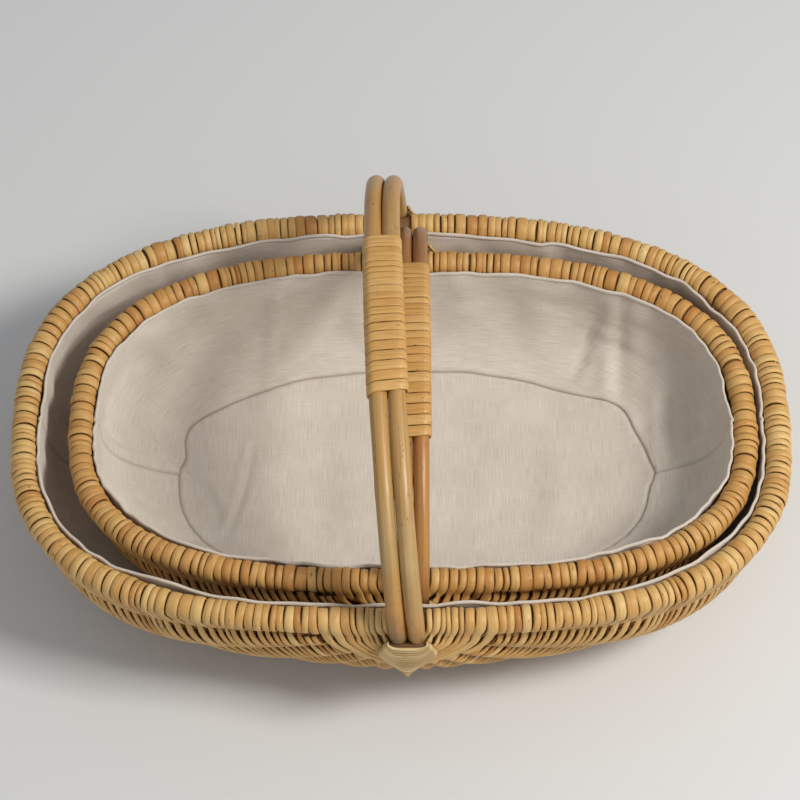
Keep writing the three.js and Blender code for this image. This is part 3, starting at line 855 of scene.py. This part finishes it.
def packing(shield, sign, rows=24, cols=25):
    """Body under the strands."""
    grids = []
    for depth in (1.0 * MM, 4.5 * MM):
        lines = []
        for z in np.linspace(-1.5 * MM, shield.tip * 0.985, rows):
            half = shield.edge(z) * 0.93
            x = np.linspace(-half, half, cols)
            z = np.full(cols, z)
            lines.append(shield.place(sign, x, shield.face(x, z) - depth, z))
        grids.append(np.array(lines))
    core = Soup()
    core.shell(grids[0], grids[1], 0.3)
    return core


def ears(bk):
    """A pointed shield of fine strands under the ends of the canes, front and back."""
    gen = np.random.default_rng(SEED + 60 + len(bk.prefix))
    shield = Shield(bk)
    for sign, part in ((-1, "front"), (1, "back")):
        obj = strands(shield, sign, gen).build(f"{bk.prefix}_lashing_{part}", fine_cane)
        attach(obj, bk, "ear_lashing", f"{bk.prefix}_ear_{part}")
        core = packing(shield, sign).build(f"{bk.prefix}_lashing_core_{part}", rod_brown)
        attach(core, bk, "ear_lashing")


# ------------------------------------------------------------------ linen liner
HEM_HIGH = 1.6 * MM           # top of the cloth above the rim centreline
HEM_OFF = 0.5 * MM            # its stand-off from the weaver's turns
CLOTH = 0.8 * MM              # thickness, two threads deep
LINER_TURNS = 336             # lines of the cloth from hem to middle
TABLE_ROUND, TABLE_DOWN = 241, 161      # size of the even table of the fitted cloth
WALL_ROWS, BASE_ROWS = 44, 78       # points of a line on the wall and on the base
PANEL_LONG, PANEL_WIDE = 0.74, 0.70     # the base panel as shares of the rim's half length and width
PANEL_POWER = 2.35            # superellipse exponent of its outline


def stations(length_parts, fine):
    """Row places from 0 to 1, drawn together in steps of `fine` near the far end."""
    close = 1 - np.array([0, 0.5, 1.0, 1.7, 2.6, 4.0, 6.0, 9.0]) * fine
    even = np.linspace(0, close.min(), length_parts - len(close) + 1)[:-1]
    return np.concatenate([even, close[::-1]])


def turns_at(bk, ang):
    """Directions round the basket from evenly running angles."""
    return np.unwrap(np.arctan2(bk.b * np.sin(ang), bk.a * np.cos(ang)))


def ring_noise(theta, low, high, seed):
    g = np.random.default_rng(seed)
    out = np.zeros(len(theta))
    for w in range(low, high):
        out += g.normal() * np.cos(w * theta + g.uniform(0, 2 * math.pi))
    return out / (high - low) ** 0.5


def plan_reach(bk, turn, z, inset):
    a, b, d = bk.a - inset, bk.b - inset, bk.depth - inset
    q = np.clip(1 - (np.clip(-z, 0, None) / d) ** POWER, 0, 1)
    around = np.abs(np.cos(turn) / a) ** POWER + np.abs(np.sin(turn) / b) ** POWER
    return (q / around) ** (1 / POWER)


SIM_SIDE = 66                 # points along each side of the simulated cloth
SIM_FRAMES = 32
FLAT_FROM, FLAT_FADE = 0.70, 0.15       # the base lies flatter inside this share, and its fade
BASE_PASSES = 8               # how often the simulation is evened out over the base
SLACK = 0.032                 # largest share by which the cloth is cut too large
BOWL_ROUND, BOWL_DOWN = 120, 70     # points of the bowl that holds it
# Where the cloth was cut fullest: direction round the basket in degrees, share of the way from the
# middle to the hem, reach, and how much.
FULL_SPOTS = [(170, 0.62, 0.15, 0.9), (202, 0.60, 0.15, 0.7), (138, 0.74, 0.14, 0.6),
              (35, 0.76, 0.13, 0.6), (352, 0.72, 0.12, 0.5), (75, 0.78, 0.14, 0.4),
              (265, 0.75, 0.2, 0.3)]

# Creases, set in coarse steps, with an earlier set that was measured in the photograph: start in half
# lengths and half widths, heading in degrees, length in half widths,
# bend in degrees, height and width in mm.
CREASES = [
    (-0.75, 0.10, -20, 0.55, -80, -3.4, 3.8),      # from the left end of the base seam, then forwards
    (-0.50, 0.25, -95, 0.70, -15, -3.0, 3.0),      # across the base
    (-0.45, 0.65, 100, 0.30, -60, 3.0, 3.4),       # up from the back seam, left
    (-0.80, 0.25, -50, 0.25, 0, -3.2, 5.5),        # on the wall by the left end
    (-0.70, 0.35, 45, 1.00, -20, 3.0, 7.0),        # long soft fold along the wall, back left
    (0.50, 0.60, 60, 0.25, 0, -2.8, 3.6),          # up from the back seam, right
    (0.65, 0.85, -90, 0.40, 0, -3.0, 6.0),         # down the wall, back right
    (0.80, 0.45, -95, 0.40, 15, -3.2, 6.0),        # down the wall, right
    (0.95, 0.20, -140, 0.30, 0, 1.8, 5.0),         # at the right end
    (-0.95, 0.10, 0, 0.25, 0, -1.2, 3.2),          # at the left end
    (-0.90, -0.25, -20, 0.35, 0, 1.8, 6.0),        # front left
    (0.60, -0.50, -35, 0.35, 0, 1.9, 6.0),         # front right
    (-0.35, -0.65, -75, 0.30, 0, 1.7, 5.5),        # three gathers along the front
    (0.00, -0.70, -90, 0.25, 0, -1.3, 6.0),
    (0.30, -0.65, -65, 0.30, 0, -1.8, 6.0),
    (-0.20, 0.35, -80, 0.80, -20, 1.1, 13.0),      # broad waves across the base
    (0.15, 0.45, -85, 0.85, -20, -1.2, 15.0),
    (0.45, 0.30, -85, 0.70, -20, 1.1, 12.0),
]


def crease_line(bk, x, y, heading, length, bend, steps=24):
    """Plan points of one crease: an arc from its start."""
    share = (np.arange(steps) + 0.5) / steps
    way = np.radians(heading + bend * share)
    step = length * bk.b / steps
    run = np.stack([np.cos(way), np.sin(way)], -1) * step
    return np.array([x * bk.a, y * bk.b]) + np.concatenate([[[0, 0]], np.cumsum(run, 0)])


# Corners of the base seam: direction in degrees, how far out, how wide.
SEAM_CORNERS = [(35, 0.05, 10), (155, 0.03, 8), (0, 0.02, 5), (170, -0.02, 5), (-140, 0.02, 8),
                (100, 0.015, 20)]


def fold_height(bk, grid, normal):
    """Height of the creases over every point of the cloth."""
    flat, nrm = grid.reshape(-1, 3), normal.reshape(-1, 3)
    mirror = 1 if bk.prefix == "inner" else -1
    out = np.zeros(len(flat))
    for *course, height, width in CREASES:
        corners = []
        for px, py in crease_line(bk, *course):
            away = (flat[:, 0] - mirror * px) ** 2 + (flat[:, 1] - py) ** 2
            corners.append(flat[int(np.argmin(away))])
        path = resample(np.array(corners), 48)
        for _ in range(10):
            even_out(path, 0.25)
        gap = flat[:, None] - path[None]
        dist = np.linalg.norm(gap, axis=-1)
        near = np.argmin(dist, axis=1)
        each = np.arange(len(flat))
        tangent = np.gradient(path, axis=0)[near]
        side = np.sign((np.cross(tangent, gap[each, near]) * nrm).sum(-1))
        s = dist[each, near] * side / (width * MM)
        fade = np.sin(math.pi * (near + 1) / 49) ** 0.55
        out += height * MM * fade * (np.exp(-s ** 2) - 0.55 * np.exp(-((s + 1.5) / 0.8) ** 2))
    return out.reshape(grid.shape[:2])


def ring_faces(turns, rows):
    """Quads of a closed ring of `turns` lines with `rows` points each."""
    return [(j * rows + i, (j + 1) % turns * rows + i, (j + 1) % turns * rows + i + 1, j * rows + i + 1)
            for j in range(turns) for i in range(rows - 1)]


def cubic(table, x, y):
    """Catmull-Rom look-up in a table of points at real places x, y."""
    i, j = np.floor(x).astype(int), np.floor(y).astype(int)
    fx, fy = x - i, y - j

    def weights(t):
        return (-0.5 * t + t * t - 0.5 * t ** 3, 1 - 2.5 * t * t + 1.5 * t ** 3,
                0.5 * t + 2 * t * t - 1.5 * t ** 3, -0.5 * t * t + 0.5 * t ** 3)
    wx, wy = weights(fx), weights(fy)
    out = 0
    for p in range(4):
        row = np.clip(i + p - 1, 0, table.shape[0] - 1)
        for q in range(4):
            col = np.clip(j + q - 1, 0, table.shape[1] - 1)
            out = out + table[row, col] * (wx[p] * wy[q])[..., None]
    return out


def fullness(ang, rho):
    """Where the cloth is cut too large, from 0 to 1: along the wall and at the full spots."""
    full = 0.22 * smooth_step((1 - rho) / 0.12) * smooth_step((rho - 0.4) / 0.2)
    for direction, share, reach, amount in FULL_SPOTS:
        a = math.radians(direction)
        d = np.hypot(rho * np.cos(ang) - share * math.cos(a),
                     rho * np.sin(ang) - share * math.sin(a))
        full = full + amount * np.exp(-(d / reach) ** 2)
    return np.clip(full, 0, 1)


def loose_cloth(start, border, full):
    """The cloth before it settles, pinned at its hem."""
    n = SIM_SIDE
    faces = [(i * n + j, (i + 1) * n + j, (i + 1) * n + j + 1, i * n + j + 1)
             for i in range(n - 1) for j in range(n - 1)]
    mesh = bpy.data.meshes.new("settling")
    mesh.from_pydata(start.reshape(-1, 3).tolist(), [], faces)
    obj = add_object("settling", mesh)
    pin = obj.vertex_groups.new(name="pin")
    taut = obj.vertex_groups.new(name="taut")
    for i in range(n * n):
        if border[i] > 0.999:
            pin.add([i], 1.0, "REPLACE")
        taut.add([i], float(1 - full[i]), "REPLACE")
    return obj


def holding_bowl(table):
    """The bowl that holds the cloth, just outside it."""
    cx = np.linspace(0, table.shape[0] - 1, BOWL_ROUND, endpoint=False)
    cy = np.linspace(0, table.shape[1] - 1, BOWL_DOWN)
    bowl = cubic(table, *np.meshgrid(cx, cy, indexing="ij"))
    normal = unit(np.cross(np.roll(bowl, -1, 0) - np.roll(bowl, 1, 0), np.gradient(bowl, axis=1)))
    if normal[0, 5, 0] < 0:
        normal = -normal
    normal[:, -3:] = (0, 0, -1)
    bowl = bowl + normal * 2.0 * MM
    mesh = bpy.data.meshes.new("bowl")
    mesh.from_pydata(bowl.reshape(-1, 3).tolist(), [], ring_faces(BOWL_ROUND, BOWL_DOWN))
    obj = add_object("bowl", mesh)
    obj.modifiers.new("hold", "COLLISION")
    obj.collision.thickness_outer = 0.8 * MM
    obj.collision.thickness_inner = 4 * MM
    obj.collision.cloth_friction = 8
    return obj


def linen_physics(obj):
    mod = obj.modifiers.new("cloth", "CLOTH")
    st = mod.settings
    st.quality = 6
    st.mass = 0.12
    st.tension_stiffness = st.compression_stiffness = 22
    st.shear_stiffness = 9
    st.bending_stiffness = 0.35
    st.tension_damping = st.compression_damping = st.shear_damping = 6
    st.air_damping = 3
    st.vertex_group_mass = "pin"
    st.vertex_group_shrink = "taut"
    st.shrink_min = -SLACK
    st.shrink_max = 0.0
    mod.collision_settings.distance_min = 0.8 * MM
    mod.collision_settings.collision_quality = 3
    mod.point_cache.frame_start = 1
    mod.point_cache.frame_end = SIM_FRAMES


def settle(table, seed):
    """Lets over-full cloth settle in the bowl. table: rest points by direction and share from the hem.

    Returns the movement of a square grid of points laid over the round cloth."""
    n = SIM_SIDE
    g = np.random.default_rng(seed)
    u, v = np.meshgrid(np.linspace(-1, 1, n), np.linspace(-1, 1, n), indexing="ij")
    px, py = u * np.sqrt(1 - v * v / 2), v * np.sqrt(1 - u * u / 2)
    ang = np.mod(np.arctan2(py, px), 2 * math.pi)
    rho = np.clip(np.hypot(px, py), 0, 1)
    rest = cubic(table, ang / (2 * math.pi) * (table.shape[0] - 1), (1 - rho) * (table.shape[1] - 1))
    start = rest + g.normal(0, 0.12 * MM, rest.shape) * (rho < 0.985)[..., None]
    border = np.maximum(np.abs(u), np.abs(v)).ravel()
    cloth = loose_cloth(start, border, fullness(ang, rho).ravel())
    bowl = holding_bowl(table)
    linen_physics(cloth)
    scene = bpy.context.scene
    for frame_number in range(1, SIM_FRAMES + 1):
        scene.frame_set(frame_number)
    done = cloth.evaluated_get(bpy.context.evaluated_depsgraph_get())
    co = np.zeros(n * n * 3, np.float32)
    done.data.vertices.foreach_get("co", co)
    for thing in (cloth, bowl):
        data = thing.data
        bpy.data.objects.remove(thing)
        bpy.data.meshes.remove(data)
    scene.frame_set(1)
    moved = co.reshape(n, n, 3).astype(float) - rest
    # the base lies flatter than the grid of points can show
    flat = smooth_step((FLAT_FROM - rho) / FLAT_FADE)[..., None]
    return softened(moved, 1) * (1 - flat) + softened(moved, BASE_PASSES) * flat


def softened(moved, passes):
    """Evens out a grid of movements over neighbouring points; its border stays."""
    out = moved.copy()
    for _ in range(passes):
        sides = out[:-2, 1:-1] + out[2:, 1:-1] + out[1:-1, :-2] + out[1:-1, 2:]
        corners = out[:-2, :-2] + out[2:, 2:] + out[:-2, 2:] + out[2:, :-2]
        out[1:-1, 1:-1] = (4 * out[1:-1, 1:-1] + 2 * sides + corners) / 16
    return out


def movement(moved, ang, rho):
    """Movement of the settled cloth at directions and shares from the middle."""
    px, py = rho * np.cos(ang), rho * np.sin(ang)
    r2 = 2 * math.sqrt(2)
    pu, pv = 2 + px * px - py * py, 2 - px * px + py * py
    u = 0.5 * (np.sqrt(np.clip(pu + r2 * px, 0, None)) - np.sqrt(np.clip(pu - r2 * px, 0, None)))
    v = 0.5 * (np.sqrt(np.clip(pv + r2 * py, 0, None)) - np.sqrt(np.clip(pv - r2 * py, 0, None)))
    n = moved.shape[0] - 1
    return cubic(moved, np.clip((u + 1) / 2, 0, 1) * n, np.clip((v + 1) / 2, 0, 1) * n)


def liner_profile(bk, tr, zz):
    """Points of the fitted cloth from the hem to the middle, in one direction."""
    near = smooth_step((zz + 26 * MM) / (20 * MM))
    inset = LINER_IN + (bk.rim_r + HEM_OFF - LINER_IN) * near
    r = plan_reach(bk, tr, np.minimum(zz, 0), inset)
    x, y = r * math.cos(tr), r * math.sin(tr)
    z = zz - bk.dip * (x / bk.a) ** 2 * np.clip(1 + zz / bk.depth, 0, 1)
    return np.stack([x, y, z], -1)


def cloth_normals(grid):
    du = np.roll(grid, -1, 0) - np.roll(grid, 1, 0)
    dv = np.gradient(grid, axis=1)
    normal = unit(np.cross(du, dv))
    return -normal if normal[0, 5, 0] > 0 else normal


def fitted_line(bk, tr):
    """One line of the fitted cloth from the hem to just short of the middle, and the middle."""
    floor = -0.985 * (bk.depth - LINER_IN)
    down = np.concatenate([np.linspace(HEM_HIGH, floor * 0.9, 160),
                           floor * np.linspace(0.902, 1.0, 60)])
    return liner_profile(bk, tr, down), np.array([[0, 0, floor]])


def fitted_table(bk):
    """The fitted cloth as an even table over direction and share from the hem."""
    even = np.linspace(0, 2 * math.pi, TABLE_ROUND)
    lines = [np.concatenate(fitted_line(bk, tr)) for tr in turns_at(bk, even)]
    return np.array([resample(line, TABLE_DOWN) for line in lines])


def sewn_line(bk, tr):
    """One line of the liner: the wall's points, then the base's, close together at the base seam.

    Returns the points, their shares of the way from the hem, and the middle of the base."""
    p, middle = fitted_line(bk, tr)
    # the base panel is not a true oval: its seam was eased round by hand and has soft corners
    way = math.degrees(math.atan2(math.sin(tr) / bk.b, math.cos(tr) / bk.a))
    ease = 1 + 0.008 * math.sin(5 * tr + 2.1) + 0.003 * math.sin(17 * tr)
    for corner_at, amount, reach in SEAM_CORNERS:
        ease += amount * math.exp(-((way - corner_at) / reach) ** 2)
    q = (np.abs(p[:, 0] / (PANEL_LONG * bk.a) / ease) ** PANEL_POWER
         + np.abs(p[:, 1] / (PANEL_WIDE * bk.b) / ease) ** PANEL_POWER)
    i = max(int(np.argmax(q < 1.0)), 2)
    cut = (q[i - 1] - 1) / (q[i - 1] - q[i])
    corner = p[i - 1] * (1 - cut) + p[i] * cut
    wall = at_shares(np.concatenate([p[:i], [corner]]), stations(WALL_ROWS, 0.011))
    base = at_shares(np.concatenate([[corner], p[i:], middle]), 1 - stations(BASE_ROWS, 0.012)[::-1])
    line = np.concatenate([wall, base[1:-1]])
    run = run_along(line)
    return line, run / (run[-1] + np.linalg.norm(line[-1] - middle[0])), middle


def bump_at(distance, reach):
    return np.exp(-(distance / reach) ** 2)


def sewing(ang, seed, depth_run, to_seam, wall_y):
    """Relief that the sewing leaves in the cloth, and the painted shade in its seam grooves."""
    # puckers gathered by the hem stitching, and slack cloth under it
    pucker = ring_noise(ang, 30, 80, seed + 1)[:, None]
    slack = np.clip(ring_noise(ang, 5, 20, seed + 2), -0.1, 2.4)[:, None]
    off = pucker * np.exp(-(depth_run / (9 * MM)) ** 1.4) * 0.4 * MM
    off += slack * np.exp(-(depth_run / (18 * MM)) ** 1.4) * 1.6 * MM
    # gathers that run into the base seam, and the seam itself
    gather = ring_noise(ang, 40, 120, seed + 4)[:, None]
    off += gather * np.exp(-np.abs(to_seam) / (7 * MM)) * 0.28 * MM
    off += 0.5 * MM * bump_at(np.abs(to_seam) - 3.2 * MM, 2.2 * MM) - 1.3 * MM * bump_at(to_seam, 1.0 * MM)
    # end seams of the wall panel
    end_away = np.abs(wall_y - 0.5 * MM) + np.where(to_seam > 0.5 * MM, 1.0, 0)
    end_groove = bump_at(end_away, 0.9 * MM)
    off += 0.4 * MM * bump_at(end_away - 3 * MM, 2 * MM) - 1.0 * MM * end_groove
    # the second value is painted shade along the base seam and the end seams of the wall panel
    return off, np.maximum(bump_at(to_seam, 0.9 * MM), end_groove * 0.8)


def thread_places(grid, depth_run):
    """Where the threads run: along and down on the wall, plan on the base."""
    step = np.linalg.norm(np.roll(grid, -1, 0) - grid, axis=-1)
    places = np.zeros(grid.shape)
    places[..., 0] = depth_run
    places[..., 1] = np.concatenate([[0], np.cumsum(step[:, 0])[:-1]])[:, None]
    places[:, WALL_ROWS:, :2] = grid[:, WALL_ROWS:, :2]
    return places


def cloth_sheet(bk, grid, middle, places, seam):
    """The liner as one surface of cloth thickness."""
    turns, rows = grid.shape[:2]
    tris = [(j * rows + rows - 1, (j + 1) % turns * rows + rows - 1, turns * rows)
            for j in range(turns)]
    verts = np.concatenate([grid.reshape(-1, 3), middle])
    mesh = bpy.data.meshes.new(bk.prefix + "_linen")
    mesh.from_pydata(verts.tolist(), [], ring_faces(turns, rows) + tris)
    mesh.update()
    put_attribute(mesh, "run", np.concatenate([places.reshape(-1, 3), [[0, 0, 0]]]))
    # seam: how much painted shade the seam grooves get
    put_attribute(mesh, "seam", np.concatenate([seam.ravel(), [0]]))
    mesh.polygons.foreach_set("use_smooth", np.ones(len(mesh.polygons), bool))
    mesh.materials.append(linen_mat)
    obj = add_object(bk.prefix + "_linen", mesh)
    mod = obj.modifiers.new("thickness", "SOLIDIFY")
    mod.thickness = CLOTH
    mod.offset = 0
    return attach(obj, bk, "linen", bk.prefix + "_liner")


def hem_roll(bk, edge, ang, seed):
    """The cloth's edge folded over twice, a soft roll against the rim."""
    lift = (0.6 + 1.0 * ring_noise(ang, 6, 40, seed + 6)) * MM
    edge[:, 2] += np.clip(lift, -0.8 * MM, 3.0 * MM)
    wide = np.clip((3.0 + 0.6 * ring_noise(ang, 8, 40, seed + 7)) * MM, 1.8 * MM, 4.4 * MM)
    soup = Soup()
    soup.sweep(edge, [0, 0, 1], flat_oval(2.2, 8), 0.5,
               np.stack([wide, np.full(len(wide), 2.2 * MM)], -1), loop=True)
    return attach(soup.build(bk.prefix + "_hem", linen_mat), bk, "linen")


def build_liner(bk):
    seed = SEED + len(bk.prefix) + (50 if bk.prefix == "inner" else 0)
    table = fitted_table(bk)
    moved = settle(table, seed)
    ang = np.linspace(0, 2 * math.pi, LINER_TURNS, endpoint=False)
    ang = ang - 0.30 * np.sin(2 * ang) / 2
    lines, shares, middles = zip(*(sewn_line(bk, tr) for tr in turns_at(bk, ang)))
    grid, shares, middle = np.array(lines), np.array(shares), middles[0]
    normal = cloth_normals(grid)
    depth_run = np.array([run_along(line) for line in grid])
    to_seam = depth_run - depth_run[:, WALL_ROWS - 1:WALL_ROWS]
    wall_y = grid[..., 1].copy()
    if moved is not None:
        shift = movement(moved, ang[:, None] + 0 * shares, 1 - shares)
        inward = (shift * normal).sum(-1)
        grid = grid + (shift + normal * np.maximum(-1.2 * MM - inward, 0)[..., None])
        middle = middle + movement(moved, np.array([0.0]), np.array([0.0]))
        normal = cloth_normals(grid)
    relief, seam = sewing(ang, seed, depth_run, to_seam, wall_y)
    grid = grid + normal * (fold_height(bk, grid, normal) + relief)[..., None]
    place = np.array([bk.cx, 0, bk.z])
    obj = cloth_sheet(bk, grid + place, middle + place, thread_places(grid, depth_run), seam)
    hem = hem_roll(bk, grid[:, 0] + place, ang, seed)


baskets = [
    Basket("outer", 9.4 * MM, 2.1, {"wrap": wrap_outer, "cane": cane_outer, "bind": bind_outer,
                                    "cane_tones": (0.85, 0.42)}),
    Basket("inner", 8.9 * MM, 2.0, {"wrap": wrap_inner, "cane": cane_inner, "bind": bind_inner,
                                    "cane_tones": (0.92, 0.12)}),
]
for bk in baskets:
    frame_rods(bk)
    weavers(bk)
    handle(bk)
    ears(bk)
    build_liner(bk)

# ------------------------------------------------------------------ stage, light, camera
scene = bpy.context.scene
floor_mat = Nodes("pale_floor")
floor_mat.surface({"Base Color": (0.72, 0.72, 0.71, 1), "Roughness": 0.9})
half = 6.0
mesh = bpy.data.meshes.new("floor")
corners = [(-half, -half, 0), (half, -half, 0), (half, half, 0), (-half, half, 0)]
mesh.from_pydata(corners, [], [(0, 1, 2, 3)])
mesh.materials.append(floor_mat.mat)
add_object("floor", mesh)

world = bpy.data.worlds.new("studio")
world.use_nodes = True
world.node_tree.nodes["Background"].inputs[0].default_value = (0.90, 0.94, 1.0, 1)
world.node_tree.nodes["Background"].inputs[1].default_value = 0.38
scene.world = world


def area_light(name, place, aim, size, power, colour):
    data = bpy.data.lights.new(name, "AREA")
    data.shape = "RECTANGLE"
    data.size, data.size_y = size
    data.energy = power
    data.color = colour
    obj = add_object(name, data)
    obj.location = place
    obj.rotation_euler = (Vector(aim) - Vector(place)).to_track_quat("-Z", "Y").to_euler()


area_light("key", (1.3, -0.55, 1.75), (0, 0, 0.05), (0.6, 0.6), 36, (1.0, 0.97, 0.92))
area_light("fill", (-1.0, -1.6, 1.3), (0, 0, 0.05), (1.4, 1.2), 3, (0.93, 0.96, 1.0))

camera_data = bpy.data.cameras.new("camera")
camera_data.lens = 135
camera_data.sensor_width = 36
camera_data.clip_end = 50
camera = add_object("camera", camera_data)
elevation = math.radians(54)
distance = 1.975
aim = Vector((-0.0007, 0, baskets[0].z + 0.0162))
camera.location = aim + Vector((0, -math.cos(elevation), math.sin(elevation))) * distance
camera.rotation_euler = (math.radians(90) - elevation, 0, 0)
scene.camera = camera
scene.view_settings.view_transform = "Standard"
